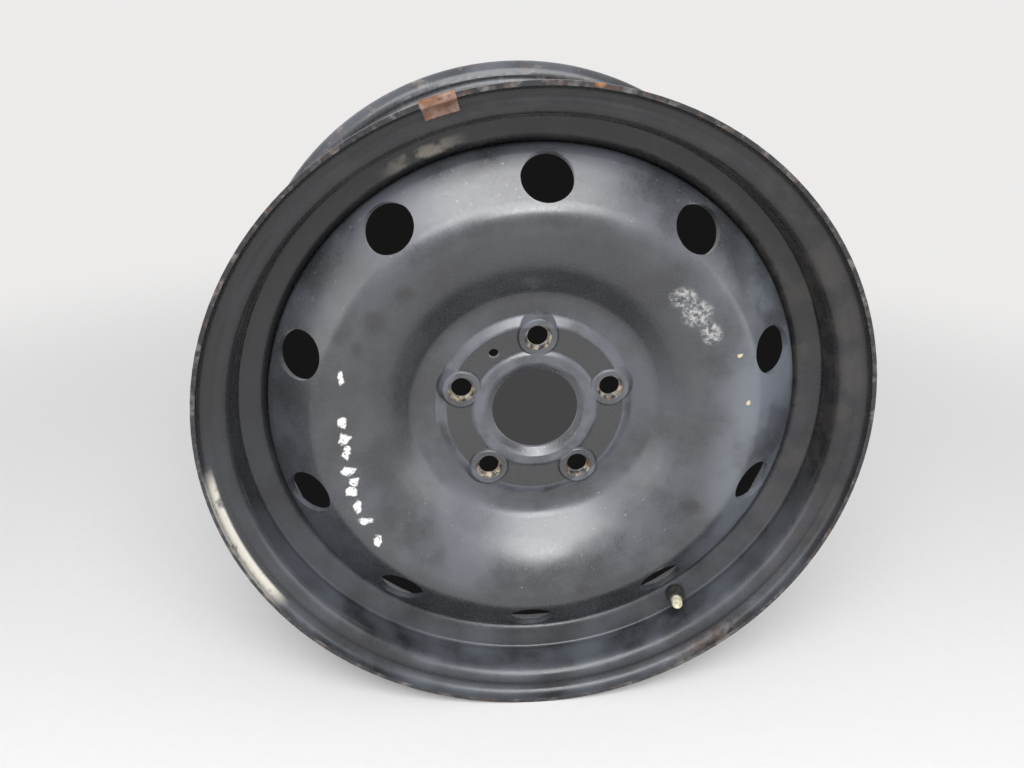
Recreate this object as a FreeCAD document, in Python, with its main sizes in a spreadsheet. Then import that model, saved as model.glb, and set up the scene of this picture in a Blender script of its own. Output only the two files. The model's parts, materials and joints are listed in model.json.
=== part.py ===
"""Pressed steel car wheel, 16 inch: welded rim and disc, snap-in valve and the clip of a lost balance weight.

Millimetres. The wheel spins about Y, its front faces -Y and +Z is up. The origin is the centre of the rim.
"""
import FreeCAD, Part
import math
import os
import re
import Sketcher
from FreeCAD import Rotation, Vector

doc = FreeCAD.newDocument("steel_wheel")
sheet = doc.addObject("Spreadsheet::Sheet", "Sizes")

# Driving sizes: name, value and meaning
SIZES = (
    ("rim_width", 165.1, "between the two flange walls"),
    ("seat_diameter", 405.6, "bead seat where it meets the flange wall"),
    ("flange_height", 17.6, "corner of flange wall and lip above the bead seat"),
    ("lip_reach", 11.5, "lip out past the flange wall"),
    ("lip_drop", 0.4, "fall of the lip towards its edge"),
    ("flange_bend", 9.5, "curl between flange wall and lip, tyre side"),
    ("seat_bend", 6.5, "corner of bead seat and flange wall, tyre side"),
    ("seat_length", 19.8, "bead seat from flange wall to hump"),
    ("seat_taper", 5, "degrees, slope of the bead seat"),
    ("hump_length", 4, "each side of the safety hump"),
    ("hump_rise", 1.1, "safety hump above the seat"),
    ("hump_bend", 5, "rounding of the hump"),
    ("well_diameter", 368, "bottom of the drop well, tyre side"),
    ("well_front", 6, "front corner of the well, behind the front hump's foot"),
    ("well_rear", 32, "rear corner of the well, ahead of the barrel's front edge"),
    ("well_bend", 6, "bends at the well's bottom"),
    ("wall_bend", 5, "bend at the top of the well's front wall, if the hump leaves it room"),
    ("bend_run", 0.1, "least straight run between two bends"),
    ("ledge_start", 24.75, "front edge of the barrel, ahead of the rear hump's foot"),
    ("ledge_drop", 3.5, "barrel below the rear bead seat"),
    ("rim_sheet", 2.8, "sheet of the rim"),
    ("disc_sheet", 4, "sheet of the disc"),
    ("mount_offset", 43, "hub face ahead of the middle of the rim"),
    ("skirt_gap", 0.05, "disc skirt to rim well"),
    ("skirt_rear", 18, "rear edge of the skirt, ahead of the well's rear corner"),
    ("shoulder_front", 5.75, "corner of the shoulder, ahead of the well's front corner"),
    ("shoulder_bend", 11, "rounding of the shoulder"),
    ("crown_radius", 141, "corner circle of the crown"),
    ("crown_front", 80.5, "corner of the crown, ahead of the middle"),
    ("crown_bend", 24, "rounding of the crown"),
    ("flank_radius", 110, "corner circle of the bowl's flank"),
    ("flank_front", 69, "corner of the bowl's flank, ahead of the middle"),
    ("flank_bend", 80, "rounding of the flank"),
    ("bowl_radius", 83, "corner circle of the bowl's floor"),
    ("bowl_bend", 16, "sweep of the bowl into its floor"),
    ("vent_count", 10, "vent holes"),
    ("vent_radius", 163.2, "circle of the vent holes"),
    ("vent_diameter", 33, "vent hole"),
    ("bolt_count", 5, "bolt holes"),
    ("bolt_circle", 108, "pitch circle of the bolts"),
    ("bolt_hole", 14.2, "bolt hole"),
    ("bolt_seat", 19, "cone seat at the boss's face"),
    ("seat_cone", 30, "degrees, cone seat to bolt axis"),
    ("seat_wall", 2.5, "sheet pressed back round the cone seat"),
    ("land_rise", 3.5, "flat lands of the hub pad above the bowl's floor"),
    ("boss_rise", 2, "bosses and collar above the lands"),
    ("pad_foot", 69, "foot of the hub pad"),
    ("pad_edge", 62, "outer edge of the lands"),
    ("pad_bend", 6, "bends at the pad's foot and edge"),
    ("lobe_radius", 17, "foot of the boss round a bolt, at the bowl's floor"),
    ("lobe_lean", 38, "degrees, boss's side to the wheel's axis"),
    ("collar_foot", 44.5, "foot of the collar round the bore"),
    ("collar_edge", 41.5, "outer edge of the collar's crest"),
    ("collar_bend", 4.5, "bends of the collar"),
    ("press_round", 1, "rounding of the bosses' edges"),
    ("bore_diameter", 60.1, "centre bore"),
    ("bore_length", 2.5, "straight part of the bore"),
    ("collar_radius", 36, "front edge of the funnel round the bore"),
    ("pin_hole", 7, "locating hole in one land"),
    ("pin_hole_radius", 51.5, "circle of the locating hole"),
    ("pin_hole_turn", 35, "degrees from the top bolt to the locating hole"),
    ("weld_count", 4, "weld beads behind the disc"),
    ("weld_span", 46, "degrees, length of a weld bead"),
    ("weld_leg", 3.6, "leg of a weld bead"),
    ("valve_turn", 144, "degrees from the top to the valve, clockwise from the front"),
    ("valve_radius", 192.7, "circle of the valve hole on the well's front wall"),
    ("valve_hole", 11.5, "valve hole"),
    ("valve_gap", 0.3, "rubber to rim"),
    ("bulb_foot", 6.3, "foot of the rubber bulb on the rim"),
    ("bulb_radius", 8.2, "rubber bulb in the well"),
    ("bulb_slope", 2.6, "sloping side of the bulb, along the valve"),
    ("bulb_length", 5, "rubber bulb, along the valve"),
    ("bulb_bend", 2, "rounding of the bulb"),
    ("collar_bulge", 7.2, "radius of the rubber collar outside the rim"),
    ("collar_length", 4, "rubber collar, along the valve"),
    ("rubber_bend", 1.5, "rounding of the rubber outside the rim"),
    ("rubber_length", 14, "rubber outside the rim"),
    ("rubber_end", 5.1, "radius of the rubber at its end"),
    ("stem_radius", 3.85, "threaded end of the stem"),
    ("stem_length", 8.5, "bare stem beyond the rubber"),
    ("stem_root", 3.4, "radius of the stem in the rubber"),
    ("mouth_chamfer", 0.5, "chamfer at the stem's mouth"),
    ("core_bore", 2.65, "radius of the stem's core chamber"),
    ("core_depth", 14, "core chamber from the stem's mouth"),
    ("air_bore", 1.7, "radius of the stem's air way"),
    ("core_gap", 0.05, "barrel to chamber"),
    ("barrel_depth", 1.6, "barrel below the stem's mouth"),
    ("barrel_length", 6, "core barrel"),
    ("barrel_bore", 1.5, "radius of the barrel's air way"),
    ("guide_length", 1.2, "guide of the pin at the barrel's top"),
    ("guide_gap", 0.06, "pin to its guide"),
    ("pin_radius", 0.7, "core pin"),
    ("pin_depth", 0.4, "pin's head below the stem's mouth"),
    ("cup_radius", 2.3, "seal cup on the pin"),
    ("cup_length", 1.6, "seal cup on the pin"),
    ("cup_gap", 0.05, "seal cup to barrel when shut"),
    ("spring_wire", 0.35, "wire of the spring"),
    ("spring_turns", 4, "turns of the spring"),
    ("spring_radius", 2.1, "middle of the spring's wire from the valve's axis"),
    ("clip_turn", -17.4, "degrees from the top to the clip, clockwise from the front"),
    ("clip_length", 21, "clip along the lip"),
    ("clip_sheet", 0.9, "sheet of the clip"),
    ("clip_gap", 0.3, "clip to lip"),
    ("clip_leg", 1.5, "clip's straight ends below the curl"),
    ("clip_bend", 0.6, "tight bends at the lip's edge"),
)


def fill_sheet():
    for row, (name, value, meaning) in enumerate(SIZES, start=1):
        sheet.set(f"A{row}", name)
        sheet.set(f"B{row}", str(value))
        sheet.setAlias(f"B{row}", name)
        sheet.set(f"C{row}", meaning)
    doc.recompute()


NAMES = {name for name, value, meaning in SIZES}


def cells(formula):
    """The formula with each size's name turned into its cell."""
    return re.sub(r"[a-z_]+", lambda word: f"Sizes.{word[0]}" if word[0] in NAMES else word[0], formula)


def number(formula):
    value = sheet.evalExpression(cells(formula))
    return float(getattr(value, "Value", value))


def tie(feature, prop, formula):
    feature.setExpression(prop, cells(formula))


# Formulas that several pieces share
FLANGE_TOP = "(seat_diameter / 2 + flange_height)"
HUMP_FOOT = "(seat_diameter / 2 - seat_length * tan(seat_taper))"
HUMP_END = "(rim_width / 2 - seat_length - 2 * hump_length)"
WELL_FRONT = f"({HUMP_END} - well_front)"
LEDGE_START = f"({HUMP_END} - ledge_start)"
WELL_REAR = f"(well_rear - {LEDGE_START})"
WELL_INSIDE = "(well_diameter / 2 - rim_sheet)"
SKIRT_RADIUS = f"({WELL_INSIDE} - skirt_gap)"
LAND_FRONT = "(mount_offset + disc_sheet)"
FLOOR_FRONT = f"({LAND_FRONT} - land_rise)"
PAD_FRONT = f"({LAND_FRONT} + boss_rise)"
SKIRT_REAR = f"({WELL_REAR} + skirt_rear)"
SHOULDER_FRONT = f"({WELL_FRONT} + shoulder_front)"
VENT_LEAN = f"atan((crown_front - {SHOULDER_FRONT}) / ({SKIRT_RADIUS} - crown_radius))"
WALL_LEAN = f"atan(well_front / ({HUMP_FOOT} - well_diameter / 2))"
HUMP_LEAN = "atan(hump_rise / hump_length)"
HUMP_RUN = f"(hump_length / cos({HUMP_LEAN}) - hump_bend * tan({HUMP_LEAN}) - bend_run)"
WALL_BEND = f"min(wall_bend; {HUMP_RUN} / tan((90 deg - {WALL_LEAN} - {HUMP_LEAN}) / 2))"
STEM_END = "(rim_sheet + rubber_length + stem_length)"
CHAMBER_FLOOR = f"({STEM_END} - core_depth)"
BARREL_TOP = f"({STEM_END} - barrel_depth)"
BARREL_FLOOR = f"({BARREL_TOP} - barrel_length)"
CUP_FLOOR = f"({BARREL_FLOOR} - cup_gap - cup_length)"


def constrain(sketch, formula, *constraint):
    """Adds a constraint with a value, tied to the formula."""
    index = sketch.addConstraint(Sketcher.Constraint(*constraint, number(formula)))
    sketch.setExpression(f"Constraints[{index}]", cells(formula))


def add_path(sketch, corners, closed=False):
    """Draws straight runs through the corners (across, along, bend), with tangent arcs where they bend."""
    places = [Vector(number(across), number(along), 0) for across, along, bend in corners]
    count = len(corners)
    runs = count if closed else count - 1
    leaving, arriving, arcs = {}, {}, {}
    for k, (across, along, bend) in enumerate(corners):
        leaving[k] = arriving[k] = places[k]
        if bend is None:
            continue
        back = (places[k - 1] - places[k]).normalize()
        ahead = (places[(k + 1) % count] - places[k]).normalize()
        half = back.getAngle(ahead) / 2
        radius = number(bend)
        arriving[k] = places[k] + back * (radius / math.tan(half))
        leaving[k] = places[k] + ahead * (radius / math.tan(half))
        centre = places[k] + (back + ahead).normalize() * (radius / math.sin(half))
        left_turn = back.cross(ahead).z < 0
        first, last = (arriving[k], leaving[k]) if left_turn else (leaving[k], arriving[k])
        start = math.atan2(first.y - centre.y, first.x - centre.x)
        end = math.atan2(last.y - centre.y, last.x - centre.x)
        arcs[k] = (Part.ArcOfCircle(Part.Circle(centre, Vector(0, 0, 1), radius), start, end), left_turn)
    lines = [sketch.addGeometry(Part.LineSegment(leaving[k], arriving[(k + 1) % count])) for k in range(runs)]
    for k, (across, along, bend) in enumerate(corners):
        before = lines[k - 1] if k or closed else None
        after = lines[k] if k < runs else None
        if k in arcs:
            arc, left_turn = arcs[k]
            arc = sketch.addGeometry(arc)
            first, last = (1, 2) if left_turn else (2, 1)
            sketch.addConstraint(Sketcher.Constraint("Tangent", before, 2, arc, first))
            sketch.addConstraint(Sketcher.Constraint("Tangent", arc, last, after, 1))
            constrain(sketch, bend, "Radius", arc)
            point, end = sketch.addGeometry(Part.Point(places[k]), True), 1
            sketch.addConstraint(Sketcher.Constraint("PointOnObject", point, 1, before))
            sketch.addConstraint(Sketcher.Constraint("PointOnObject", point, 1, after))
        else:
            if before is not None and after is not None:
                sketch.addConstraint(Sketcher.Constraint("Coincident", before, 2, after, 1))
            point, end = (after, 1) if after is not None else (before, 2)
        constrain(sketch, across, "DistanceX", -1, 1, point, end)
        constrain(sketch, along, "DistanceY", -1, 1, point, end)


def formed_ring(name, corners, thickness):
    """A sheet of this thickness along a path of (radius, place along Y, bend), as a face to turn about Y."""
    path = doc.addObject("Sketcher::SketchObject", name + "_path")
    add_path(path, corners)
    skin = doc.addObject("Part::Offset2D", name + "_section")
    skin.Source = path
    skin.Mode = "Skin"
    skin.Join = "Arc"
    skin.Fill = True
    tie(skin, "Value", thickness)
    return skin


def turned(name, section, angle="360"):
    ring = doc.addObject("Part::Revolution", name)
    ring.Source = section
    ring.Axis = Vector(0, 1, 0)
    ring.Solid = True
    tie(ring, "Angle", angle)
    return ring


def origin_plane(body, role):
    return next(feature for feature in body.Origin.OriginFeatures if feature.Role == role)


def front_sketch(body, name, ahead):
    """A sketch square to the wheel's axis, this far ahead of the middle, with its X across and its Y up."""
    sketch = body.newObject("Sketcher::SketchObject", name)
    sketch.AttachmentSupport = [(origin_plane(body, "XZ_Plane"), "")]
    sketch.MapMode = "FlatFace"
    tie(sketch, "AttachmentOffset.Base.z", ahead)
    return sketch


def add_circle(sketch, radius, across="0", up="0"):
    centre = Vector(number(across), number(up), 0)
    circle = sketch.addGeometry(Part.Circle(centre, Vector(0, 0, 1), number(radius)))
    constrain(sketch, radius, "Radius", circle)
    constrain(sketch, across, "DistanceX", -1, 1, circle, 3)
    constrain(sketch, up, "DistanceY", -1, 1, circle, 3)


def extrude(body, kind, name, sketch, length, lean=None, forwards=True):
    """A Pad or Pocket of the sketch along the wheel's axis, its sides leaning outwards by the angle."""
    before = body.Shape.Volume if body.Tip else 0
    feature = body.newObject("PartDesign::" + kind, name)
    feature.Profile = sketch
    feature.Reversed = forwards if kind == "Pocket" else not forwards
    tie(feature, "Length", length)
    if lean is not None:
        tie(feature, "TaperAngle", lean)
    doc.recompute()
    change = body.Shape.Volume - before
    assert change < 0 if kind == "Pocket" else change > 0, f"{name} changed the volume by {change}"
    return feature


def turn_profile(body, kind, name, corners, plane="XY_Plane"):
    """A Revolution or Groove of a closed outline of (radius, place along the axis, bend).

    In the XY plane the axis is Y, the wheel's own, and in the XZ plane it is Z.
    """
    sketch = body.newObject("Sketcher::SketchObject", name + "_outline")
    sketch.AttachmentSupport = [(origin_plane(body, plane), "")]
    sketch.MapMode = "FlatFace"
    add_path(sketch, corners, closed=True)
    feature = body.newObject("PartDesign::" + kind, name)
    feature.Profile = sketch
    feature.ReferenceAxis = (sketch, ["V_Axis"])
    feature.Angle = 360
    doc.recompute()
    return feature


def repeat(body, name, features, count):
    pattern = body.newObject("PartDesign::PolarPattern", name)
    pattern.Originals = features
    pattern.Axis = (origin_plane(body, "Y_Axis"), [""])
    pattern.Angle = 360
    tie(pattern, "Occurrences", count)
    body.Tip = pattern
    doc.recompute()
    return pattern


# Rim
def flange_side(side):
    """Corners of one side of the rim, from its lip to the inner foot of its hump."""
    return [
        (f"{FLANGE_TOP} - lip_drop", f"{side} * (rim_width / 2 + lip_reach)", None),
        (FLANGE_TOP, f"{side} * rim_width / 2", "flange_bend"),
        ("seat_diameter / 2", f"{side} * rim_width / 2", "seat_bend"),
        (HUMP_FOOT, f"{side} * (rim_width / 2 - seat_length)", "hump_bend"),
        (f"{HUMP_FOOT} + hump_rise", f"{side} * (rim_width / 2 - seat_length - hump_length)", "hump_bend"),
    ]


def make_rim():
    corners = flange_side("-1")
    corners.append((HUMP_FOOT, f"-{HUMP_END}", WALL_BEND))
    corners.append(("well_diameter / 2", f"-{WELL_FRONT}", "well_bend"))
    corners.append(("well_diameter / 2", f"-{WELL_REAR}", "well_bend"))
    corners.append((f"{HUMP_FOOT} - ledge_drop", LEDGE_START, "well_bend"))
    corners.append((f"{HUMP_FOOT} - ledge_drop", HUMP_END, "wall_bend"))
    corners.extend(reversed(flange_side("1")))
    ring = turned("rim_ring", formed_ring("rim", corners, "-rim_sheet"))
    hole = doc.addObject("Part::Cylinder", "rim_valve_hole")
    tie(hole, "Radius", "valve_hole / 2")
    tie(hole, "Height", "rim_sheet * 5")
    tie(hole, "Placement", valve_place("-2 * rim_sheet"))
    rim = doc.addObject("Part::Cut", "rim")
    rim.Base = ring
    rim.Tool = hole
    return rim


# Disc
def shift(lean):
    """How far the back of a pressed bend lies from its front, for a sheet of even thickness."""
    return f"disc_sheet * tan((90 - {lean}) / 2)"


def edges_at(body, ahead):
    """Names of the edges that lie square to the axis, this far ahead of the middle, within the hub pad."""
    level = -number(ahead)
    reach = number("bolt_circle / 2 + lobe_radius + disc_sheet")
    names = []
    for index, edge in enumerate(body.Shape.Edges, start=1):
        box = edge.BoundBox
        flat = abs(box.YMin - level) < 0.01 and abs(box.YMax - level) < 0.01
        if flat and max(box.XMax, -box.XMin, box.ZMax, -box.ZMin) < reach:
            names.append(f"Edge{index}")
    return names


def round_edges(body, name, ahead):
    pressed = body.Tip
    edges = edges_at(body, ahead)
    fillet = body.newObject("PartDesign::Fillet", name)
    fillet.Base = (pressed, edges)
    tie(fillet, "Radius", "press_round")
    body.Tip = fillet
    doc.recompute()
    return fillet


def press_hub(body):
    """The bosses round the bolts, raised from the bowl's floor with the sheet following behind."""
    floor_back = f"{FLOOR_FRONT} - disc_sheet"
    sides = (("", FLOOR_FRONT, "Pad", "0"), ("_back", floor_back, "Pocket", shift("lobe_lean")))
    for back, ahead, kind, less in sides:
        foot = front_sketch(body, "boss_foot" + back, ahead)
        add_circle(foot, f"lobe_radius - {less}", up="bolt_circle / 2")
        raised = extrude(body, kind, "boss" + back, foot, "land_rise + boss_rise", "-lobe_lean")
        repeat(body, "bosses" + back, [raised], "bolt_count")


def bore_hub(body):
    """The funnel round the centre bore, which ends flush with the hub face."""
    bore = "bore_diameter / 2"
    slope = f"(collar_radius - {bore}) / (boss_rise + disc_sheet - bore_length)"
    turn_profile(body, "Revolution", "bore_lip", [
        (bore, "-mount_offset", None),
        (f"{bore} + disc_sheet", "-mount_offset", None),
        (f"{bore} + disc_sheet + boss_rise * {slope}", "-mount_offset - boss_rise", None),
        (bore, "-mount_offset - boss_rise", None)])
    turn_profile(body, "Groove", "bore", [
        ("0", "disc_sheet - mount_offset", None),
        (bore, "disc_sheet - mount_offset", None),
        (bore, "-mount_offset - bore_length", None),
        ("collar_radius", f"-{PAD_FRONT}", None),
        ("collar_radius", f"-{PAD_FRONT} - disc_sheet", None),
        ("0", f"-{PAD_FRONT} - disc_sheet", None)])


def drill_hub(body):
    back = front_sketch(body, "seat_back_rim", "mount_offset + boss_rise")
    add_circle(back, "bolt_seat / 2 + seat_wall", up="bolt_circle / 2")
    pressed = extrude(body, "Pad", "seat_back", back, "boss_rise", "-seat_cone", forwards=False)
    seat = front_sketch(body, "bolt_seat_rim", PAD_FRONT)
    add_circle(seat, "bolt_seat / 2", up="bolt_circle / 2")
    depth = "(bolt_seat - bolt_hole) / 2 / tan(seat_cone)"
    cone = extrude(body, "Pocket", "bolt_seat", seat, depth, "-seat_cone", forwards=False)
    hole = front_sketch(body, "bolt_hole_rim", PAD_FRONT)
    add_circle(hole, "bolt_hole / 2", up="bolt_circle / 2")
    drilled = extrude(body, "Pocket", "bolt_hole", hole, "disc_sheet + land_rise + boss_rise", forwards=False)
    repeat(body, "bolt_holes", [pressed, cone, drilled], "bolt_count")
    pin = front_sketch(body, "pin_hole_rim", PAD_FRONT)
    across, up = "-pin_hole_radius * sin(pin_hole_turn)", "pin_hole_radius * cos(pin_hole_turn)"
    add_circle(pin, "pin_hole / 2", across, up)
    extrude(body, "Pocket", "pin_hole", pin, "disc_sheet + land_rise + boss_rise", forwards=False)


def punch_vents(body):
    """Round vents, punched square to the sloping ring between crown and shoulder."""
    ahead = f"{SHOULDER_FRONT} + ({SKIRT_RADIUS} - vent_radius) * tan({VENT_LEAN})"
    rim = front_sketch(body, "vent_rim", ahead)
    tie(rim, "AttachmentOffset.Base.y", "vent_radius")
    rim.AttachmentOffset = FreeCAD.Placement(rim.AttachmentOffset.Base, Rotation(Vector(1, 0, 0), -1))
    tie(rim, "AttachmentOffset.Rotation.Angle", f"-{VENT_LEAN}")
    add_circle(rim, "vent_diameter / 2")
    vent = extrude(body, "Pocket", "vent", rim, "disc_sheet * 3", forwards=False)
    repeat(body, "vents", [vent], "vent_count")


def make_disc():
    corners = [
        ("0", f"-{PAD_FRONT}", None),
        ("collar_edge", f"-{PAD_FRONT}", "collar_bend"),
        ("collar_foot", f"-{LAND_FRONT}", "collar_bend"),
        ("pad_edge", f"-{LAND_FRONT}", "pad_bend"),
        ("pad_foot", f"-{FLOOR_FRONT}", "pad_bend"),
        ("bowl_radius", f"-{FLOOR_FRONT}", "bowl_bend"),
        ("flank_radius", "-flank_front", "flank_bend"),
        ("crown_radius", "-crown_front", "crown_bend"),
        (SKIRT_RADIUS, f"-{SHOULDER_FRONT}", "shoulder_bend"),
        (SKIRT_RADIUS, f"-{SKIRT_REAR}", None)]
    dish = turned("disc_dish", formed_ring("disc", corners, "-disc_sheet"))
    body = doc.addObject("PartDesign::Body", "wheel_disc")
    body.BaseFeature = dish
    doc.recompute()
    punch_vents(body)
    press_hub(body)
    bore_hub(body)
    round_edges(body, "crest_rounding", PAD_FRONT)
    drill_hub(body)
    return body


# Weld beads
def make_welds():
    """Beads in the corner of the rim's well and the skirt's rear edge."""
    corner = doc.addObject("Sketcher::SketchObject", "weld_section")
    add_path(corner, [
        (WELL_INSIDE, f"-{SKIRT_REAR}", None),
        (WELL_INSIDE, f"weld_leg - {SKIRT_REAR}", None),
        (f"{WELL_INSIDE} - weld_leg", f"-{SKIRT_REAR}", None)], closed=True)
    seams = doc.addObject("Part::Compound", "weld_seams")
    beads = []
    for k in range(round(number("weld_count"))):
        bead = turned(f"weld_bead_{k + 1}", corner, "weld_span")
        bead.Symmetric = True
        tie(bead, "Placement", f"placement(vector(0; 0; 0); rotation(vector(0; 1; 0); {k} * 360 / weld_count))")
        beads.append(bead)
    seams.Links = beads
    return seams


# Tyre valve, each piece along its own Z, which leaves the well's front wall square
def valve_place(out="0"):
    """The valve's frame, moved out along its axis from the tyre side of the well's front wall."""
    ring = f"(valve_radius - ({out}) * sin({WALL_LEAN}))"
    wall = f"({WELL_FRONT} + (valve_radius - well_diameter / 2) * tan({WALL_LEAN}))"
    along = f"-({wall} + ({out}) * cos({WALL_LEAN}))"
    place = f"vector({ring} * sin(valve_turn); {along}; {ring} * cos(valve_turn))"
    turn = f"rotation(vector(0; 1; 0); valve_turn) * rotation(vector(1; 0; 0); 90 deg + {WALL_LEAN})"
    return f"placement({place}; {turn})"


def valve_piece(name, corners):
    body = doc.addObject("PartDesign::Body", name)
    turn_profile(body, "Revolution", name + "_turning", corners, "XZ_Plane")
    tie(body, "Placement", valve_place())
    return body


def make_valve():
    neck = "valve_hole / 2 - valve_gap"
    rubber_top = "rim_sheet + rubber_length"
    rubber = valve_piece("valve_body", [
        ("stem_root", "-bulb_length", None),
        ("bulb_radius", "-bulb_length", "bulb_bend"),
        ("bulb_radius", "-bulb_slope", None),
        ("bulb_foot", "-valve_gap", None),
        (neck, "-valve_gap", None),
        (neck, "rim_sheet + valve_gap", None),
        ("collar_bulge", "rim_sheet + valve_gap", None),
        ("collar_bulge", "rim_sheet + collar_length", "rubber_bend"),
        ("rubber_end", rubber_top, None),
        ("stem_root", rubber_top, None)])
    stem = valve_piece("valve_stem", [
        ("air_bore", "-bulb_length", None),
        ("stem_root", "-bulb_length", None),
        ("stem_root", rubber_top, None),
        ("stem_radius", rubber_top, None),
        ("stem_radius", f"{STEM_END} - mouth_chamfer", None),
        ("stem_radius - mouth_chamfer", STEM_END, None),
        ("core_bore", STEM_END, None),
        ("core_bore", CHAMBER_FLOOR, None),
        ("air_bore", CHAMBER_FLOOR, None)])
    barrel = valve_piece("valve_core_barrel", [
        ("barrel_bore", BARREL_FLOOR, None),
        ("core_bore - core_gap", BARREL_FLOOR, None),
        ("core_bore - core_gap", BARREL_TOP, None),
        ("pin_radius + guide_gap", BARREL_TOP, None),
        ("pin_radius + guide_gap", f"{BARREL_TOP} - guide_length", None),
        ("barrel_bore", f"{BARREL_TOP} - guide_length", None)])
    pin = valve_piece("valve_core_pin", [
        ("0", CUP_FLOOR, None),
        ("cup_radius", CUP_FLOOR, None),
        ("cup_radius", f"{CUP_FLOOR} + cup_length", None),
        ("pin_radius", f"{CUP_FLOOR} + cup_length", None),
        ("pin_radius", f"{STEM_END} - pin_depth", None),
        ("0", f"{STEM_END} - pin_depth", None)])
    return [rubber, stem, barrel, pin, make_spring()]


def make_spring():
    """The coil between the chamber's floor and the seal cup."""
    body = doc.addObject("PartDesign::Body", "valve_core_spring")
    wire = body.newObject("Sketcher::SketchObject", "spring_wire_section")
    wire.AttachmentSupport = [(origin_plane(body, "XZ_Plane"), "")]
    wire.MapMode = "FlatFace"
    add_circle(wire, "spring_wire / 2", "spring_radius", f"{CHAMBER_FLOOR} + core_gap + spring_wire / 2")
    coil = body.newObject("PartDesign::AdditiveHelix", "spring_coil")
    coil.Profile = wire
    coil.ReferenceAxis = (wire, ["V_Axis"])
    coil.Mode = "height-turns-angle"
    tie(coil, "Height", f"{CUP_FLOOR} - {CHAMBER_FLOOR} - 2 * core_gap - spring_wire")
    tie(coil, "Turns", "spring_turns")
    coil.Angle = 0
    tie(body, "Placement", valve_place())
    doc.recompute()
    return body


# Clip of the lost balance weight
def make_clip():
    """A bent strip that hooks over the front lip: down its curl on the tyre side, and down its front."""
    wall = "rim_width / 2"
    edge = f"-({wall} + lip_reach + clip_gap)"
    under = f"({FLANGE_TOP} - rim_sheet - clip_gap)"
    front = f"-({wall} + rim_sheet + clip_gap)"
    section = formed_ring("clip", [
        (f"{FLANGE_TOP} - flange_bend - clip_leg", f"clip_gap - {wall}", None),
        (f"{FLANGE_TOP} + clip_gap", f"clip_gap - {wall}", "flange_bend + clip_gap"),
        (f"{FLANGE_TOP} - lip_drop + clip_gap", edge, "clip_bend"),
        (f"{under} - lip_drop", edge, "clip_bend"),
        (under, front, "flange_bend - rim_sheet - clip_gap"),
        (f"{FLANGE_TOP} - flange_bend - clip_leg", front, None)], "-clip_sheet")
    clip = turned("balance_clip", section, f"clip_length / {FLANGE_TOP} * 180 / pi")
    clip.Symmetric = True
    tie(clip, "Placement", "placement(vector(0; 0; 0); rotation(vector(0; 1; 0); clip_turn - 90))")
    return clip


def check(pieces):
    doc.recompute()
    for feature in doc.Objects:
        if "Invalid" in feature.State or "Error" in feature.State:
            raise RuntimeError(f"{feature.Name} failed: {feature.getStatusString()}")
    for piece in pieces:
        if piece.Shape.isNull() or not piece.Shape.isValid():
            raise RuntimeError(f"{piece.Label} has no valid shape")


def export(pieces):
    os.makedirs("parts", exist_ok=True)
    for piece in pieces:
        piece.Shape.exportStep(f"parts/{piece.Label}.step")
        box = piece.Shape.BoundBox
        print(piece.Label, len(piece.Shape.Solids), round(piece.Shape.Volume, 1), box)


fill_sheet()
wheel = [make_rim(), make_disc(), make_welds(), *make_valve(), make_clip()]
check(wheel)
export(wheel)
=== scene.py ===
"""Bare steel car wheel: worn black paint, dust, rust, the threaded tyre valve and a plain studio.

Lengths are in metres in the wheel's own frame: the axle lies along Y, the outer face looks to -Y, +Z is up.
Turns about the axle are in degrees from +X towards +Z.
"""
import functools
import json
import math

import bmesh
import bpy
from mathutils import Matrix, Vector


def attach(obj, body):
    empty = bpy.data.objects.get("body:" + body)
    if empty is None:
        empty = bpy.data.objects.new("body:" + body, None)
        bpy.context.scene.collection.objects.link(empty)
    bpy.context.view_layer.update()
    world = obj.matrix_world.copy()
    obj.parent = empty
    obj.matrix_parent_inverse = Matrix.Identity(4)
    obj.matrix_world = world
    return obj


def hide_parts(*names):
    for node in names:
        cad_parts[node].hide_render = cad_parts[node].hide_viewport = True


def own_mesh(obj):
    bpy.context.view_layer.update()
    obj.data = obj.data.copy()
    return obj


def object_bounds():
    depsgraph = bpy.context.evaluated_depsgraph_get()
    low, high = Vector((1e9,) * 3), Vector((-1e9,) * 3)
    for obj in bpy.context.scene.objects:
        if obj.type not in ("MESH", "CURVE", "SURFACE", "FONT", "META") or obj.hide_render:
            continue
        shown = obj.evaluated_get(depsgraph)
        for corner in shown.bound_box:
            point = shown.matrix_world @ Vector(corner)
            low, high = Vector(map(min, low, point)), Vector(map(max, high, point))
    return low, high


bl_info = {
    "name": "Steel Wheel Finish",
    "version": (1, 0, 0),
    "blender": (4, 5, 0),
    "location": "View3D > Sidebar > Wheel",
    "description": "Paints, rusts and lights the packed steel wheel",
    "category": "Object",
}

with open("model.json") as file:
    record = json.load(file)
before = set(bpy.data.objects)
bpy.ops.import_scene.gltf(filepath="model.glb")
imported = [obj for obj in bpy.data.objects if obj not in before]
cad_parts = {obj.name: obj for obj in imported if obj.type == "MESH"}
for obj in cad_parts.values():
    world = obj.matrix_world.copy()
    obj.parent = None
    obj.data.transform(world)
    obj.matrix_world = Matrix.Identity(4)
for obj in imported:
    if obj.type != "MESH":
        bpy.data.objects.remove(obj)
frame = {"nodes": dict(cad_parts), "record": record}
nodes = frame["nodes"]
cad_box = [list(corner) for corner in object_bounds()]
mounts = {mount["name"]: mount for mount in frame["record"]["mounts"]}


def colour_setting(name, description, default):
    return bpy.props.FloatVectorProperty(
        name=name, description=description, subtype="COLOR", size=3, default=default, min=0, max=1)


def share_setting(name, description, default):
    return bpy.props.FloatProperty(
        name=name, description=description, subtype="FACTOR", default=default, min=0, max=1)


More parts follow.
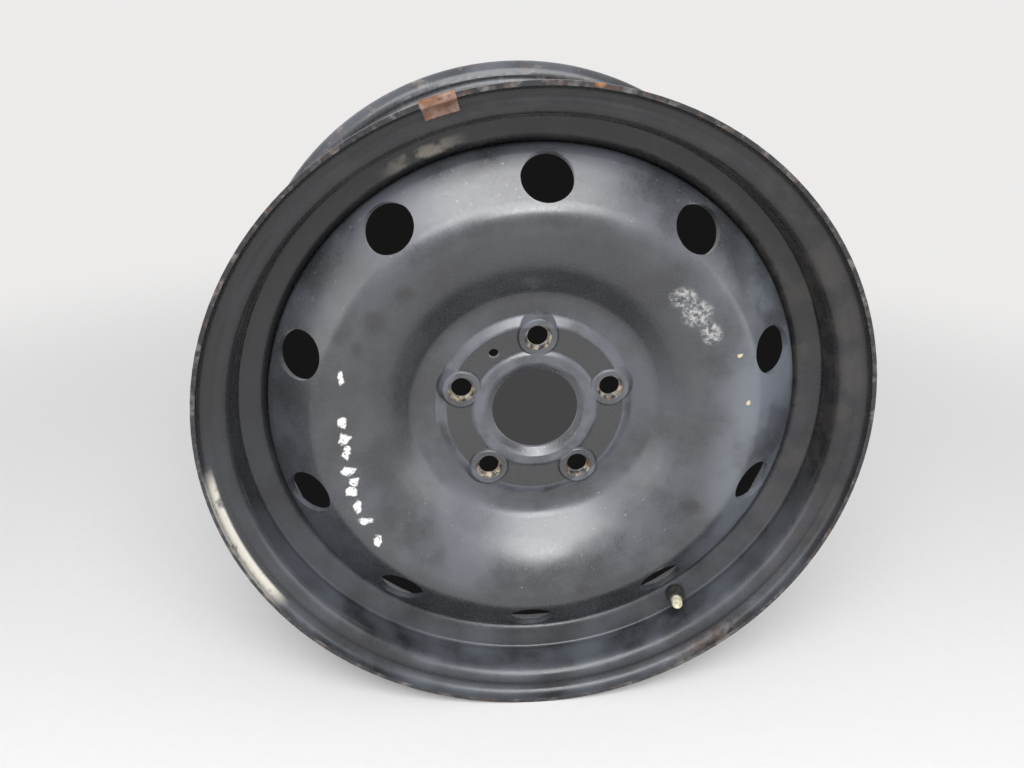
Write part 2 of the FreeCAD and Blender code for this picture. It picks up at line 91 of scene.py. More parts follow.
def power_setting(name, description, default):
    return bpy.props.FloatProperty(name=name, description=description, unit="POWER", default=default, min=0)


class PaintLook(bpy.types.PropertyGroup):
    coat: colour_setting("Coat", "Black coat under the dust", (0.017, 0.0175, 0.019))
    # This colour also paints the sheen at the disc's sides and the highlights on the hub's bevel and collar
    dust: colour_setting("Dust", "Dry dust on the disc", (0.155, 0.17, 0.20))
    soil: colour_setting("Soil", "Brown dirt inside the rim", (0.085, 0.069, 0.058))
    gloss_roughness: share_setting("Coat roughness", "Roughness of clean coat", 0.25)
    dust_roughness: share_setting("Dust roughness", "Roughness under dust", 0.44)


class MetalLook(bpy.types.PropertyGroup):
    bare: colour_setting("Bare steel", "Steel where the coat has gone", (0.46, 0.43, 0.40))
    rust: colour_setting("Rust", "Old brown rust", (0.16, 0.068, 0.032))
    fresh_rust: colour_setting("Fresh rust", "Orange rust", (0.38, 0.16, 0.055))
    chalk: colour_setting("White paint", "Dabs of white paint and pale residue", (0.72, 0.72, 0.70))


class ValveLook(bpy.types.PropertyGroup):
    brass: colour_setting("Brass", "Tarnished valve stem", (0.62, 0.55, 0.38))
    rubber: colour_setting("Rubber", "Aged valve rubber", (0.022, 0.022, 0.023))
    thread_pitch: bpy.props.FloatProperty(
        name="Thread pitch", description="Pitch of the stem's thread",
        unit="LENGTH", default=0.00079, min=0.0003)
    thread_depth: bpy.props.FloatProperty(
        name="Thread depth", description="Depth of the stem's thread",
        unit="LENGTH", default=0.0004, min=0)


class StageLook(bpy.types.PropertyGroup):
    pale: colour_setting("Surround", "Pale colour of the surround and of the far floor", (0.84, 0.83, 0.825))
    floor: colour_setting("Floor", "Pale floor near the wheel", (0.80, 0.795, 0.79))
    lens: bpy.props.FloatProperty(
        name="Lens", description="Focal length on a 36 mm wide sensor, in mm", default=29.94, min=10)
    camera: bpy.props.FloatVectorProperty(
        name="Camera", description="Place of the camera", subtype="TRANSLATION", unit="LENGTH", size=3,
        default=(-0.067642, -0.578155, 0.253866))
    turn: bpy.props.FloatVectorProperty(
        name="Camera turn", description="Turn of the camera from looking along +Y, axis times angle",
        subtype="AXISANGLE", size=3, default=(-0.41428093, -0.00398076, -0.08918515))
    key: power_setting("Key light", "Power of the soft light above the front", 31)
    front: power_setting("Front light", "Power of the small light in front", 5)
    fill: power_setting("Side lights", "Power of each soft light at the sides", 7)
    ambient: bpy.props.FloatProperty(
        name="Surround light", description="Strength of the light from the surround", default=0.35, min=0)


class Finish:
    """A procedural material over the wheel's own coordinates, built up in layers."""

    def __init__(self, name):
        self.material = bpy.data.materials.new(name)
        self.material.use_nodes = True
        self.tree = self.material.node_tree
        self.tree.nodes.clear()
        self.shader = self.tree.nodes.new("ShaderNodeBsdfPrincipled")
        self.output = self.tree.nodes.new("ShaderNodeOutputMaterial")
        self.tree.links.new(self.shader.outputs[0], self.output.inputs[0])

    @functools.cached_property
    def place(self):
        return self.add("ShaderNodeTexCoord").outputs["Object"]

    @functools.cached_property
    def parts(self):
        """The place's x, depth and z."""
        return tuple(self.add("ShaderNodeSeparateXYZ", self.place).outputs)

    @functools.cached_property
    def radius(self):
        return self.vector("LENGTH", self.vector("MULTIPLY", self.place, (1, 0, 1)))

    @functools.cached_property
    def turn(self):
        x, _, z = self.parts
        return self.math("DEGREES", self.math("ARCTAN2", z, x))

    @functools.cached_property
    def upward(self):
        """How far the surface faces up, from -1 to 1."""
        facing = self.add("ShaderNodeNewGeometry").outputs["Normal"]
        return self.add("ShaderNodeSeparateXYZ", facing).outputs[2]

    def feed(self, socket, value):
        if isinstance(value, bpy.types.NodeSocket):
            self.tree.links.new(value, socket)
        elif hasattr(socket.default_value, "__len__") and len(socket.default_value) == 4:
            socket.default_value = (*value, 1)
        else:
            socket.default_value = value

    def add(self, kind, *values, **settings):
        node = self.tree.nodes.new(kind)
        for name, value in settings.items():
            setattr(node, name, value)
        for socket, value in zip(node.inputs, values):
            if value is not None:
                self.feed(socket, value)
        return node

    def math(self, operation, *values):
        return self.add("ShaderNodeMath", *values, operation=operation).outputs[0]

    def vector(self, operation, *values):
        node = self.add("ShaderNodeVectorMath", *values, operation=operation)
        return node.outputs["Value" if operation == "LENGTH" else "Vector"]

    def times(self, *values):
        return functools.reduce(functools.partial(self.math, "MULTIPLY"), values)

    def most(self, *values):
        return functools.reduce(functools.partial(self.math, "MAXIMUM"), values)

    def without(self, share):
        """What the share leaves of one."""
        return self.math("SUBTRACT", 1.0, share)

    def ramp(self, value, start, end, low=0.0, high=1.0):
        """A soft step of the value from start to end; start may lie above end."""
        node = self.add("ShaderNodeMapRange", value, start, end, low, high, interpolation_type="SMOOTHSTEP")
        return node.outputs[0]

    def window(self, value, span, soft):
        """One inside the span, falling to nothing across its soft ends."""
        low, high = span
        rise = self.ramp(value, low - soft, low + soft)
        return self.times(rise, self.ramp(value, high + soft, high - soft))

    def clouds(self, scale, detail, coarse):
        node = self.add("ShaderNodeTexNoise", self.place)
        node.inputs["Scale"].default_value = scale
        node.inputs["Detail"].default_value = detail
        node.inputs["Roughness"].default_value = coarse
        return node.outputs

    def noise(self, scale, detail=4.0, coarse=0.55):
        return self.clouds(scale, detail, coarse)[0]

    def ragged(self, amount, scale):
        """The place, shaken by noise, so that what is masked by it has a ragged edge."""
        shake = self.clouds(scale, 4.0, 0.5)["Color"]
        centred = self.vector("SUBTRACT", shake, (0.5, 0.5, 0.5))
        return self.vector("ADD", self.place, self.vector("SCALE", centred, None, None, amount))

    def spot(self, centre, reach, at, soft):
        """A round or oval patch: reach is its half sizes along the axes."""
        away = self.vector("DIVIDE", self.vector("SUBTRACT", at, centre), reach)
        return self.ramp(self.vector("LENGTH", away), 1.0, 1.0 - soft)

    def spots(self, rows, deep, at, soft):
        """Patches from rows of x, y, z, half width and half height, all of one half depth."""
        return self.most(*(self.spot(row[:3], (row[3], deep, row[4]), at, soft) for row in rows))

    def mix(self, share, under, over):
        """Colours mixed by the share."""
        node = self.tree.nodes.new("ShaderNodeMix")
        node.data_type = "RGBA"
        for index, value in ((0, share), (6, under), (7, over)):
            self.feed(node.inputs[index], value)
        return node.outputs[2]

    def blend(self, share, under, over):
        """Plain numbers mixed by the share."""
        node = self.tree.nodes.new("ShaderNodeMix")
        for index, value in ((0, share), (2, under), (3, over)):
            self.feed(node.inputs[index], value)
        return node.outputs[0]

    def grained(self, roughness, grain):
        """The roughness, varied a little by the grain."""
        return self.math("ADD", roughness, self.ramp(grain, 0.3, 0.7, -0.04, 0.05))

    def finish(self, colour, roughness, metal=0.0, bump=None, strength=0.2, distance=0.0004, sheen=0.5):
        self.feed(self.shader.inputs["Base Color"], colour)
        self.feed(self.shader.inputs["Roughness"], roughness)
        self.feed(self.shader.inputs["Metallic"], metal)
        self.shader.inputs["Specular IOR Level"].default_value = sheen
        if bump is not None:
            node = self.add("ShaderNodeBump")
            node.inputs["Strength"].default_value = strength
            node.inputs["Distance"].default_value = distance
            self.feed(node.inputs["Height"], bump)
            self.feed(self.shader.inputs["Normal"], node.outputs[0])
        return self.material

    def cast(self, share, glow, under):
        """Gives the share of the surface a plain glow, over the shader under it."""
        over = self.add("ShaderNodeEmission", glow)
        mixed = self.add("ShaderNodeMixShader", share, under.outputs[0], over.outputs[0])
        self.tree.links.new(mixed.outputs[0], self.output.inputs[0])
        return self.material


def cover(obj, material):
    obj.data.materials.clear()
    obj.data.materials.append(material)


def add_mesh(name, mesh):
    """A new object in the scene from a bmesh, which is then freed."""
    data = bpy.data.meshes.new(name)
    mesh.to_mesh(data)
    mesh.free()
    obj = bpy.data.objects.new(name, data)
    bpy.context.scene.collection.objects.link(obj)
    return obj


class WHEEL_OT_paint_rim(bpy.types.Operator):
    """Worn black coat on the rim: bare and rusted lip, soil inside, scuffs and drips"""

    bl_idname = "wheel.paint_rim"
    bl_label = "Paint the rim"

    # Where each mark lies, as a span of turn, radius or depth
    soil_right = (-30.0, 62.0)
    soil_top = (62.0, 128.0)
    soil_depth = (-0.088, -0.045)
    drip_turn = (107.0, 119.0)
    drip_radius = (0.186, 0.1935)
    drip_depth = (-0.062, -0.048)
    lip_depth = (-0.0885, -0.0935)
    lip_radius = (0.2150, 0.2190)
    edge_depth = (-0.0934, -0.0940)
    scuff_turn = (-62.0, -46.0)
    scuff_radius = (0.2105, 0.2165)
    crescent_turn = (-173.0, -146.0)
    crescent_radius = (0.2135, 0.2172)
    crescent_depth = (-0.083, -0.085)
    rear_depth = (0.078, 0.088)
    orange_place = (0.0234, -0.094, 0.2187)
    orange_reach = (0.0045, 0.006, 0.003)
    drip_colour = (0.36, 0.32, 0.27)
    crescent_colour = (0.60, 0.57, 0.50)

    def execute(self, context):
        paint, metal = context.scene.wheel_paint, context.scene.wheel_metal
        coat = Finish("rim_coat")
        depth = coat.parts[1]
        fine = coat.noise(420.0, 5.0, 0.65)
        broad = coat.noise(16.0, 5.0)

        dust = coat.times(coat.ramp(coat.upward, -0.3, 0.9), coat.ramp(broad, 0.32, 0.66), 0.55)
        colour = coat.mix(dust, paint.coat, paint.dust)
        right = coat.window(coat.turn, self.soil_right, 18.0)
        top = coat.window(coat.turn, self.soil_top, 14.0)
        inside = coat.window(depth, self.soil_depth, 0.006)
        patches = coat.ramp(coat.noise(38.0, 6.0, 0.6), 0.45, 0.62)
        soil = coat.times(coat.most(right, coat.times(top, 0.6)), inside, patches, 0.3)
        colour = coat.mix(soil, colour, paint.soil)

        drip = coat.times(
            coat.window(coat.turn, self.drip_turn, 4.0),
            coat.window(coat.radius, self.drip_radius, 0.0015),
            coat.window(depth, self.drip_depth, 0.003),
            coat.ramp(coat.noise(90.0), 0.42, 0.58))
        colour = coat.mix(coat.times(drip, 0.6), colour, self.drip_colour)

        lip = coat.times(coat.ramp(depth, *self.lip_depth), coat.ramp(coat.radius, *self.lip_radius))
        worn = coat.times(lip, coat.ramp(coat.noise(210.0, 6.0, 0.7), 0.62, 0.68))
        chips = coat.ramp(coat.noise(85.0, 5.0, 0.65), 0.46, 0.62)
        edge = coat.times(coat.ramp(depth, *self.edge_depth), chips)
        scuff = coat.times(
            coat.window(coat.turn, self.scuff_turn, 4.0),
            coat.ramp(coat.radius, *self.scuff_radius),
            coat.ramp(coat.noise(140.0, 5.0, 0.7), 0.40, 0.56))
        bare = coat.most(worn, edge, scuff)
        rusty = coat.mix(coat.ramp(coat.noise(95.0, 5.0, 0.6), 0.40, 0.62), metal.rust, metal.bare)
        colour = coat.mix(coat.times(bare, 0.26), colour, rusty)

        crescent = coat.times(
            coat.window(coat.turn, self.crescent_turn, 3.0),
            coat.window(coat.radius, self.crescent_radius, 0.0009),
            coat.ramp(depth, *self.crescent_depth),
            coat.ramp(coat.noise(45.0), 0.30, 0.42))
        colour = coat.mix(crescent, colour, self.crescent_colour)
        orange = coat.spot(self.orange_place, self.orange_reach, coat.ragged(0.006, 60.0), 0.5)
        colour = coat.mix(coat.times(orange, 0.6), colour, metal.fresh_rust)
        pitted = coat.ramp(coat.noise(75.0, 6.0, 0.65), 0.54, 0.64)
        rear = coat.times(coat.ramp(depth, *self.rear_depth), pitted)
        colour = coat.mix(coat.times(rear, 0.35), colour, rusty)

        rough = coat.blend(coat.most(dust, soil, bare), paint.gloss_roughness, paint.dust_roughness)
        bump = coat.math("ADD", coat.times(fine, 0.25), coat.times(coat.without(bare), 0.8))
        material = coat.finish(colour, coat.grained(rough, fine), bump=bump, strength=0.25, sheen=0.48)
        cover(nodes["rim"], material)
        return {"FINISHED"}


class WHEEL_OT_paint_disc(bpy.types.Operator):
    """Worn black coat on the disc: dust, blots, pale residue, white dabs and bare bolt seats, with painted
    sheen at the sides, painted shade on the hub's lands and painted highlights on its bevel and collar
    """

    bl_idname = "wheel.paint_disc"
    bl_label = "Paint the disc"

    # Rows of x, y, z, half width and half height
    blots = (
        (-0.1056, -0.0729, 0.0759, 0.011, 0.012),
        (-0.0867, -0.0709, 0.0933, 0.010, 0.009),
        (0.1101, -0.0715, -0.0655, 0.011, 0.008),
        (0.0354, -0.0758, -0.1311, 0.008, 0.006),
        (-0.118, -0.07, 0.058, 0.006, 0.009),
    )
    dabs = (
        (-0.1284, -0.0752, 0.0387, 0.0018, 0.0056),
        (-0.1292, -0.0724, 0.0070, 0.0033, 0.0049),
        (-0.1285, -0.0722, -0.0050, 0.0042, 0.0042),
        (-0.1279, -0.0720, -0.0153, 0.0030, 0.0059),
        (-0.1270, -0.0730, -0.0290, 0.0054, 0.0042),
        (-0.1240, -0.0740, -0.0370, 0.0042, 0.0034),
        (-0.1259, -0.0749, -0.0443, 0.0045, 0.0042),
        (-0.1225, -0.0752, -0.0560, 0.0030, 0.0059),
        (-0.1182, -0.0760, -0.0676, 0.0054, 0.0031),
        (-0.1101, -0.0765, -0.0838, 0.0033, 0.0056),
    )
    smears = (
        (0.0885, -0.0705, 0.0895, 0.0105, 0.0095),
        (0.0985, -0.071, 0.0790, 0.0115, 0.0120),
        (0.1090, -0.0715, 0.0660, 0.0080, 0.0100),
    )
    flecks = (
        (0.1288, -0.0765, 0.0511, 0.0022, 0.0016),
        (0.1394, -0.0767, 0.0172, 0.0016, 0.0022),
    )
    blot_deep = 0.02
    mark_deep = 0.03

    # Spans of x, radius or depth
    # Painted sheen: spans of x where the dust colour is laid over the right and left of the disc
    right_painted_sheen = (0.09, 0.15)
    left_painted_sheen = (-0.10, -0.16)
    land_radius = (0.0445, 0.0615)
    land_depth = (-0.0478, -0.0462)
    bevel_radius = (0.0615, 0.0695)
    bevel_depth = (-0.0425, -0.0440)
    collar_radius = (0.0335, 0.0435)
    collar_depth = (-0.0465, -0.0480)
    seat_span = (-0.0494, -0.0485)
    seat_depth = -0.046
    seat_reach = (0.0098, 0.02, 0.0098)
    fleck_colour = (0.55, 0.46, 0.30)
    seat_brown = (0.24, 0.15, 0.075)
    seat_gold = (0.60, 0.53, 0.41)

    def bolt_seats(self, coat):
        """The bare cone seats round the bolt holes, broken up by noise."""
        pattern = mounts["wheel_bolts"]["dims"]
        ring, count = pattern["pcd_mm"] / 2000, pattern["count"]
        seats = []
        for k in range(count):
            turn = 2 * math.pi * k / count
            centre = (ring * math.sin(turn), self.seat_depth, ring * math.cos(turn))
            seats.append(coat.spot(centre, self.seat_reach, coat.place, 0.12))
        broken = coat.ramp(coat.noise(210.0, 4.0, 0.6), 0.42, 0.62)
        return coat.times(coat.most(*seats), coat.ramp(coat.parts[1], *self.seat_span), broken)

    def dust(self, coat, ragged):
        """Dust on what faces up, with a painted sheen of dust colour at the sides; wiped off the blots, and
        off the lands as painted shade; painted highlights of dust colour on the bevel and collar.
        """
        x, depth, _ = coat.parts
        broad = coat.noise(18.0, 6.0, 0.6)
        dust = coat.times(
            coat.ramp(coat.upward, -0.55, 0.75, 0.25, 1.0),
            coat.ramp(broad, 0.35, 0.63, 0.25, 1.0),
            coat.ramp(coat.noise(7.0, 3.0), 0.3, 0.7, 0.7, 1.0),
            0.62)
        # Painted sheen: dust colour over the right side, less over the left, where the ring would catch side
        # light
        painted_sheen = coat.most(coat.ramp(x, *self.right_painted_sheen, 0.0, 0.8), coat.ramp(x, *self.left_painted_sheen, 0.0, 0.25))
        dust = coat.most(dust, coat.times(painted_sheen, coat.ramp(broad, 0.36, 0.60, 0.3, 1.0)))
        dark = coat.spots(self.blots, self.blot_deep, ragged, 0.7)
        dust = coat.times(dust, coat.without(coat.times(dark, 0.9)))
        # Painted shade: the flat lands lose almost all their dust, so they read darker
        painted_shade_land = coat.times(
            coat.window(coat.radius, self.land_radius, 0.0008),
            coat.window(depth, self.land_depth, 0.0003))
        dust = coat.times(dust, coat.without(coat.times(painted_shade_land, 0.92)))
        bevel = coat.times(
            coat.window(coat.radius, self.bevel_radius, 0.001),
            coat.ramp(depth, *self.bevel_depth))
        collar = coat.times(
            coat.window(coat.radius, self.collar_radius, 0.001),
            coat.ramp(depth, *self.collar_depth))
        # Painted highlight: the lighter dust colour on the pad's bevel and on the collar round the bore
        painted_highlight = coat.ramp(coat.noise(60.0, 4.0), 0.30, 0.62, 0.15, 0.5)
        return coat.most(dust, coat.times(coat.most(bevel, collar), painted_highlight))

    def execute(self, context):
        paint, metal = context.scene.wheel_paint, context.scene.wheel_metal
        coat = Finish("disc_coat")
        ragged = coat.ragged(0.005, 110.0)
        brushed = coat.ragged(0.006, 260.0)
        fine = coat.noise(520.0, 5.0, 0.65)

        # The dust mask also carries the painted sheen at the sides, the painted shade on the lands and the
        # painted highlights on the bevel and collar
        dust = self.dust(coat, ragged)
        colour = coat.mix(dust, paint.coat, paint.dust)
        grit = coat.ramp(coat.noise(640.0, 3.0, 0.5), 0.70, 0.74)
        specks = coat.times(grit, coat.ramp(coat.upward, 0.0, 0.5))
        colour = coat.mix(coat.times(specks, 0.55), colour, metal.chalk)

        residue = coat.spots(self.smears, self.mark_deep, ragged, 0.5)
        residue = coat.times(residue, coat.ramp(coat.noise(330.0, 5.0, 0.7), 0.40, 0.62))
        colour = coat.mix(coat.times(residue, 0.5), colour, metal.chalk)
        dab = coat.spots(self.dabs, self.mark_deep, brushed, 0.3)
        dab = coat.times(dab, coat.ramp(coat.noise(500.0, 3.0), 0.30, 0.45))
        colour = coat.mix(coat.times(dab, 0.95), colour, metal.chalk)
        fleck = coat.spots(self.flecks, self.mark_deep, ragged, 0.4)
        colour = coat.mix(fleck, colour, self.fleck_colour)

        seat = self.bolt_seats(coat)
        gilt = coat.ramp(coat.noise(190.0, 4.0, 0.6), 0.38, 0.56)
        colour = coat.mix(seat, colour, coat.mix(gilt, self.seat_brown, self.seat_gold))

        rough = coat.blend(coat.most(dust, seat), paint.gloss_roughness, paint.dust_roughness)
        bump = coat.math("ADD", coat.times(fine, 0.2), coat.times(coat.most(dab, residue), 0.6))
        shine = coat.times(seat, 0.6)
        material = coat.finish(colour, coat.grained(rough, fine), shine, bump, strength=0.2, sheen=0.85)
        cover(nodes["wheel_disc"], material)
        return {"FINISHED"}


class WHEEL_OT_paint_welds(bpy.types.Operator):
    """Rippled weld beads under the same black coat"""

    bl_idname = "wheel.paint_welds"
    bl_label = "Paint the welds"

    def execute(self, context):
        paint, metal = context.scene.wheel_paint, context.scene.wheel_metal
        coat = Finish("weld_coat")
        ripple = coat.math("SINE", coat.times(coat.turn, 6.0))
        grime = coat.ramp(coat.noise(70.0, 5.0, 0.6), 0.42, 0.62)
        colour = coat.mix(coat.times(grime, 0.5), paint.coat, metal.rust)
        rough = coat.blend(grime, paint.gloss_roughness, paint.dust_roughness)
        material = coat.finish(colour, rough, bump=ripple, strength=0.5, distance=0.0006)
        cover(nodes["weld_seams"], material)
        return {"FINISHED"}


def valve_frame():
    """The valve's own frame: its origin at the middle of the bare thread and its Z out of the stem."""
    mount = mounts["valve_thread"]
    out = Vector(mount["axis"]).normalized()
    return Matrix.Translation(mount["pos_m"]) @ out.to_track_quat("Z", "Y").to_matrix().to_4x4()


def lathe(name, rings, around):
    """A closed turned mesh from rings of radius and height; a radius may be a function of the turn."""
    mesh = bmesh.new()
    loops = []
    for radius, height in rings:
        loop = []
        for k in range(around):
            turn = 2 * math.pi * k / around
            size = radius(turn) if callable(radius) else radius
            loop.append(mesh.verts.new((size * math.cos(turn), size * math.sin(turn), height)))
        loops.append(loop)
    for first, second in zip(loops, loops[1:] + loops[:1]):
        for k in range(around):
            mesh.faces.new((first[k - 1], first[k], second[k], second[k - 1]))
    bmesh.ops.recalc_face_normals(mesh, faces=mesh.faces)
    return add_mesh(name, mesh)


class WHEEL_OT_dress_valve(bpy.types.Operator):
    """Threaded brass stem, core and spring, and the valve's aged rubber"""

    bl_idname = "wheel.dress_valve"
    bl_label = "Dress the valve"

    # The stem behind and inside its thread
    tail_length = 0.0218
    tail_radius = 0.0034
    bore_radius = 0.0017
    core_radius = 0.00265
    core_depth = 0.014
    chamfer = 0.0005
    steps_per_turn = 8
    stem_sides = 48
    pale_brass = (0.80, 0.78, 0.66)
    brass_grime = (0.09, 0.075, 0.05)
    dark_wire = (0.42, 0.42, 0.43)
    pale_wire = (0.60, 0.59, 0.57)
    rubber_bloom = (0.11, 0.10, 0.09)

    def stem_rings(self, look):
        """The stem's outline from the foot of its bore, out over the thread and back down the core's bore."""
        dims = mounts["valve_thread"]["dims"]
        outer, length = dims["r_mm"] / 1000, dims["length_mm"] / 1000
        half = length / 2
        foot = -half - self.tail_length
        mouth = half + self.chamfer

        def crest(height, turn):
            phase = ((height + half) / look.thread_pitch - turn / (2 * math.pi)) % 1.0
            run_out = min(1.0, (half - abs(height)) / look.thread_pitch)
            return outer - look.thread_depth * run_out * abs(2 * phase - 1)

        rings = [(self.bore_radius, foot), (self.tail_radius, foot)]
        rings += [(self.tail_radius, -half), (outer, -half)]
        count = round(length / look.thread_pitch * self.steps_per_turn)
        for k in range(count + 1):
            height = -half + length * k / count
            rings.append((functools.partial(crest, height), height))
        rings += [(outer - self.chamfer, mouth), (self.core_radius, mouth)]
        rings += [(self.core_radius, mouth - self.core_depth), (self.bore_radius, mouth - self.core_depth)]
        return rings

    def execute(self, context):
        look = context.scene.wheel_valve
        stem = lathe("valve_threaded_stem", self.stem_rings(look), self.stem_sides)
        stem.matrix_world = valve_frame()
        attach(stem, "wheel")
        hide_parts("valve_stem")

        brass = Finish("tarnished_brass")
        tarnish = brass.noise(700.0, 5.0, 0.6)
        colour = brass.mix(brass.ramp(tarnish, 0.36, 0.66), look.brass, self.pale_brass)
        grime = brass.ramp(brass.noise(380.0, 4.0), 0.56, 0.68)
        colour = brass.mix(brass.times(grime, 0.7), colour, self.brass_grime)
        rough = brass.ramp(tarnish, 0.2, 0.8, 0.26, 0.46)
        cover(stem, brass.finish(colour, rough, 0.85, tarnish, strength=0.1, distance=0.0001))
        for name in ("valve_core_barrel", "valve_core_pin"):
            cover(nodes[name], brass.material)

        coil = bpy.data.objects.new("valve_coil", nodes["valve_core_spring"].data.copy())
        context.scene.collection.objects.link(coil)
        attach(coil, "wheel")
        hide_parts("valve_core_spring")
        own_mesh(coil)
        wire = Finish("spring_wire")
        scale = wire.noise(2500.0, 3.0)
        colour = wire.mix(scale, self.dark_wire, self.pale_wire)
        cover(coil, wire.finish(colour, 0.34, 1.0, scale, strength=0.1, distance=0.00005))

        rubber = Finish("valve_rubber")
        bloom = rubber.noise(260.0, 5.0, 0.6)
        colour = rubber.mix(rubber.ramp(bloom, 0.40, 0.75, 0.0, 0.5), look.rubber, self.rubber_bloom)
        rough = rubber.ramp(bloom, 0.3, 0.7, 0.5, 0.75)
        cover(nodes["valve_body"], rubber.finish(colour, rough, bump=bloom, strength=0.25, distance=0.0003))
        return {"FINISHED"}


class WHEEL_OT_rust_clip(bpy.types.Operator):
    """Rusted clip of the lost balance weight"""

    bl_idname = "wheel.rust_clip"
    bl_label = "Rust the clip"

    pale_rust = (0.25, 0.16, 0.125)
    pit_colour = (0.05, 0.03, 0.022)

    def execute(self, context):
        metal = context.scene.wheel_metal
        rust = Finish("clip_rust")
        pits = rust.noise(380.0, 6.0, 0.7)
        cloud = rust.noise(110.0, 5.0, 0.6)
        colour = rust.mix(rust.ramp(cloud, 0.35, 0.65), metal.rust, self.pale_rust)
        colour = rust.mix(rust.ramp(pits, 0.55, 0.68), colour, self.pit_colour)
        rough = rust.ramp(pits, 0.3, 0.7, 0.55, 0.8)
        cover(nodes["balance_clip"], rust.finish(colour, rough, 0.15, pits, strength=0.5, distance=0.0003))
        return {"FINISHED"}


def add_light(name, place, aim, size, power):
    data = bpy.data.lights.new(name, "AREA")
    data.shape = "RECTANGLE"
    data.size, data.size_y = size
    data.energy = power
    light = bpy.data.objects.new(name, data)
    bpy.context.scene.collection.objects.link(light)
    light.location = place
    light.rotation_euler = (aim - Vector(place)).to_track_quat("-Z", "Y").to_euler()


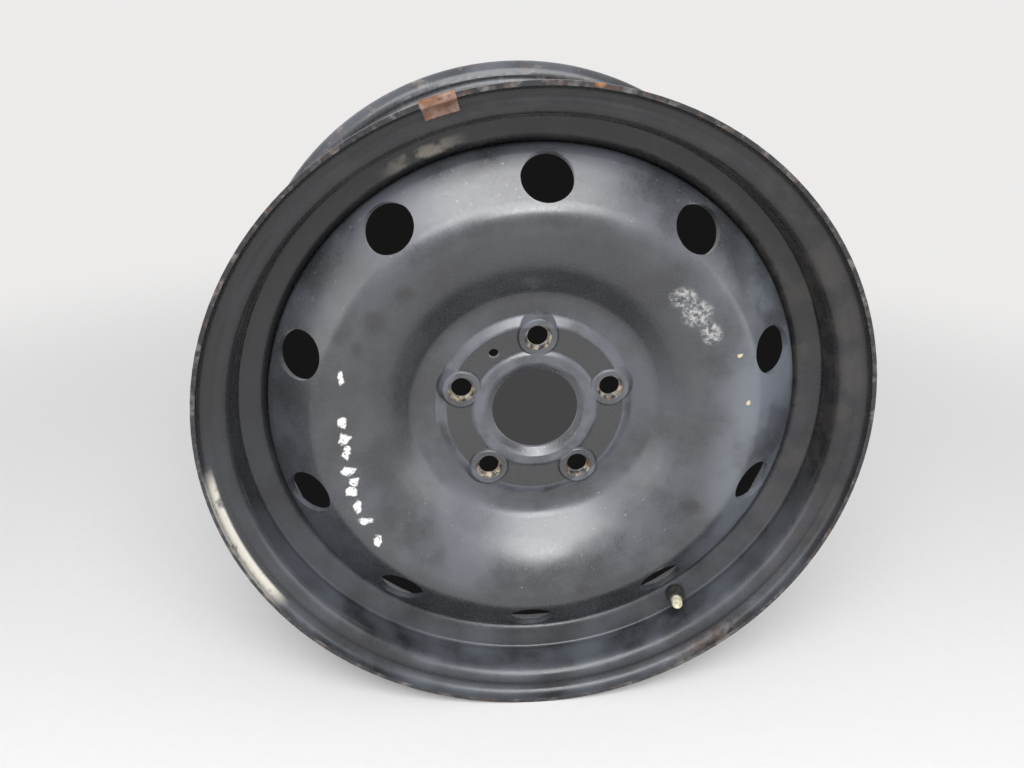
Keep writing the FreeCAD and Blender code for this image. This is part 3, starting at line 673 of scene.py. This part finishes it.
class WHEEL_OT_set_stage(bpy.types.Operator):
    """Pale floor, a painted shade card behind the disc, soft lights and the camera"""

    bl_idname = "wheel.set_stage"
    bl_label = "Set the stage"

    # Rays that see the pale surround and floor; all other rays see what lights the wheel
    seeing_rays = ("Is Camera Ray", "Is Glossy Ray", "Is Transmission Ray")
    floor_half = 40
    floor_fade = (0.35, 1.3)
    daylight = (0.95, 0.97, 1.0)
    # Radius and depth of a dark card just behind the disc, which keeps the floor out of the vents: a painted
    # shade, dark in the vents and dim grey at the bore
    shade_line = ((0.00005, -0.036), (0.078, -0.036), (0.125, -0.064), (0.145, -0.068), (0.1765, -0.047))
    painted_shade_dark = (0.008, 0.008, 0.008)
    painted_shade_dim = (0.06, 0.06, 0.062)
    shade_bore = (0.044, 0.036)
    # Name, power setting, place and size of each light
    lights = (
        ("key", "key", (-0.1, -1.18, 1.22), (1.7, 0.8)),
        ("front", "front", (0.07, -1.38, 0.76), (0.4, 0.25)),
        ("left", "fill", (-1.6, -0.85, 0.45), (1.0, 1.2)),
        ("right", "fill", (1.7, -0.5, 0.3), (1.0, 1.2)),
    )

    def lay_floor(self, look, level):
        mesh = bmesh.new()
        bmesh.ops.create_grid(mesh, x_segments=1, y_segments=1, size=self.floor_half)
        floor = add_mesh("floor", mesh)
        floor.location.z = level
        ground = Finish("pale_floor")
        grain = ground.noise(90.0, 5.0, 0.6)
        colour = ground.mix(grain, look.floor, [0.95 * part for part in look.floor])
        ground.finish(colour, 0.8, bump=grain, strength=0.1, distance=0.001)
        ray = ground.add("ShaderNodeLightPath").outputs
        seen = ground.most(*(ray[kind] for kind in self.seeing_rays))
        away = ground.ramp(ground.vector("LENGTH", ground.place), *self.floor_fade)
        cover(floor, ground.cast(ground.times(seen, away), look.pale, ground.shader))

    def hang_painted_shade(self):
        """The painted shade card, which glows dark, and dim grey at the bore, for the camera from the front
        only; it lights nothing and shades nothing.
        """
        mesh = bmesh.new()
        line = [mesh.verts.new((radius, depth, 0)) for radius, depth in self.shade_line]
        edges = [mesh.edges.new(pair) for pair in zip(line, line[1:])]
        bmesh.ops.spin(mesh, geom=line + edges, cent=(0, 0, 0), axis=(0, 1, 0), angle=2 * math.pi, steps=64)
        mesh.normal_update()
        if sum(face.normal.y for face in mesh.faces) > 0:
            bmesh.ops.reverse_faces(mesh, faces=mesh.faces)
        card = add_mesh("shade_card", mesh)
        shade = Finish("shade_card")
        shade.tree.nodes.remove(shade.shader)
        ray = shade.add("ShaderNodeLightPath").outputs
        behind = shade.add("ShaderNodeNewGeometry").outputs["Backfacing"]
        seen = shade.times(ray["Is Camera Ray"], shade.without(behind))
        # Painted shade: a dark glow in the vents and a dim grey patch of painted shaded wall through the bore
        glow = shade.mix(shade.ramp(shade.radius, *self.shade_bore), self.painted_shade_dark, self.painted_shade_dim)
        cover(card, shade.cast(seen, glow, shade.add("ShaderNodeBsdfTransparent")))

    def light_world(self, scene, look):
        world = bpy.data.worlds.new("surround")
        world.use_nodes = True
        tree = world.node_tree
        lit = tree.nodes["Background"]
        lit.inputs["Color"].default_value = (*self.daylight, 1)
        lit.inputs["Strength"].default_value = look.ambient
        shown = tree.nodes.new("ShaderNodeBackground")
        shown.inputs["Color"].default_value = (*look.pale, 1)
        ray = tree.nodes.new("ShaderNodeLightPath").outputs
        background = lit.outputs[0]
        for kind in self.seeing_rays:
            choice = tree.nodes.new("ShaderNodeMixShader")
            tree.links.new(ray[kind], choice.inputs[0])
            tree.links.new(background, choice.inputs[1])
            tree.links.new(shown.outputs[0], choice.inputs[2])
            background = choice.outputs[0]
        tree.links.new(background, tree.nodes["World Output"].inputs[0])
        scene.world = world

    def place_camera(self, scene, look):
        camera = bpy.data.objects.new("camera", bpy.data.cameras.new("camera"))
        scene.collection.objects.link(camera)
        camera.data.sensor_width = 36
        camera.data.lens = look.lens
        camera.data.clip_start = 0.01
        turn = Vector(look.turn)
        turned = Matrix.Rotation(turn.length, 4, turn.normalized())
        camera.matrix_world = Matrix.Translation(look.camera) @ turned @ Matrix.Rotation(math.pi / 2, 4, "X")
        scene.camera = camera

    def execute(self, context):
        scene, look = context.scene, context.scene.wheel_stage
        scene.view_settings.view_transform = "Standard"
        low, high = (Vector(corner) for corner in cad_box)
        self.lay_floor(look, low.z)
        self.hang_painted_shade()
        self.light_world(scene, look)
        for name, power, place, size in self.lights:
            add_light(name, place, (low + high) / 2, size, getattr(look, power))
        self.place_camera(scene, look)
        return {"FINISHED"}


class WHEEL_PT_finish(bpy.types.Panel):
    """Looks of the wheel and the buttons that make them"""

    bl_label = "Steel wheel"
    bl_space_type = "VIEW_3D"
    bl_region_type = "UI"
    bl_category = "Wheel"

    def draw(self, context):
        for look in LOOKS:
            group = getattr(context.scene, look)
            for name in group.bl_rna.properties.keys():
                if name not in ("rna_type", "name"):
                    self.layout.prop(group, name)
        for operator in OPERATORS:
            self.layout.operator(operator.bl_idname)


LOOKS = {
    "wheel_paint": PaintLook,
    "wheel_metal": MetalLook,
    "wheel_valve": ValveLook,
    "wheel_stage": StageLook,
}
OPERATORS = (
    WHEEL_OT_paint_rim,
    WHEEL_OT_paint_disc,
    WHEEL_OT_paint_welds,
    WHEEL_OT_dress_valve,
    WHEEL_OT_rust_clip,
    WHEEL_OT_set_stage,
)


def register():
    for item in (*LOOKS.values(), *OPERATORS, WHEEL_PT_finish):
        bpy.utils.register_class(item)
    for name, look in LOOKS.items():
        setattr(bpy.types.Scene, name, bpy.props.PointerProperty(type=look))


def unregister():
    for name in LOOKS:
        delattr(bpy.types.Scene, name)
    for item in reversed((*LOOKS.values(), *OPERATORS, WHEEL_PT_finish)):
        bpy.utils.unregister_class(item)


def main():
    register()
    bpy.ops.wheel.paint_rim()
    bpy.ops.wheel.paint_disc()
    bpy.ops.wheel.paint_welds()
    bpy.ops.wheel.dress_valve()
    bpy.ops.wheel.rust_clip()
    bpy.ops.wheel.set_stage()


if __name__ == "__main__":
    main()
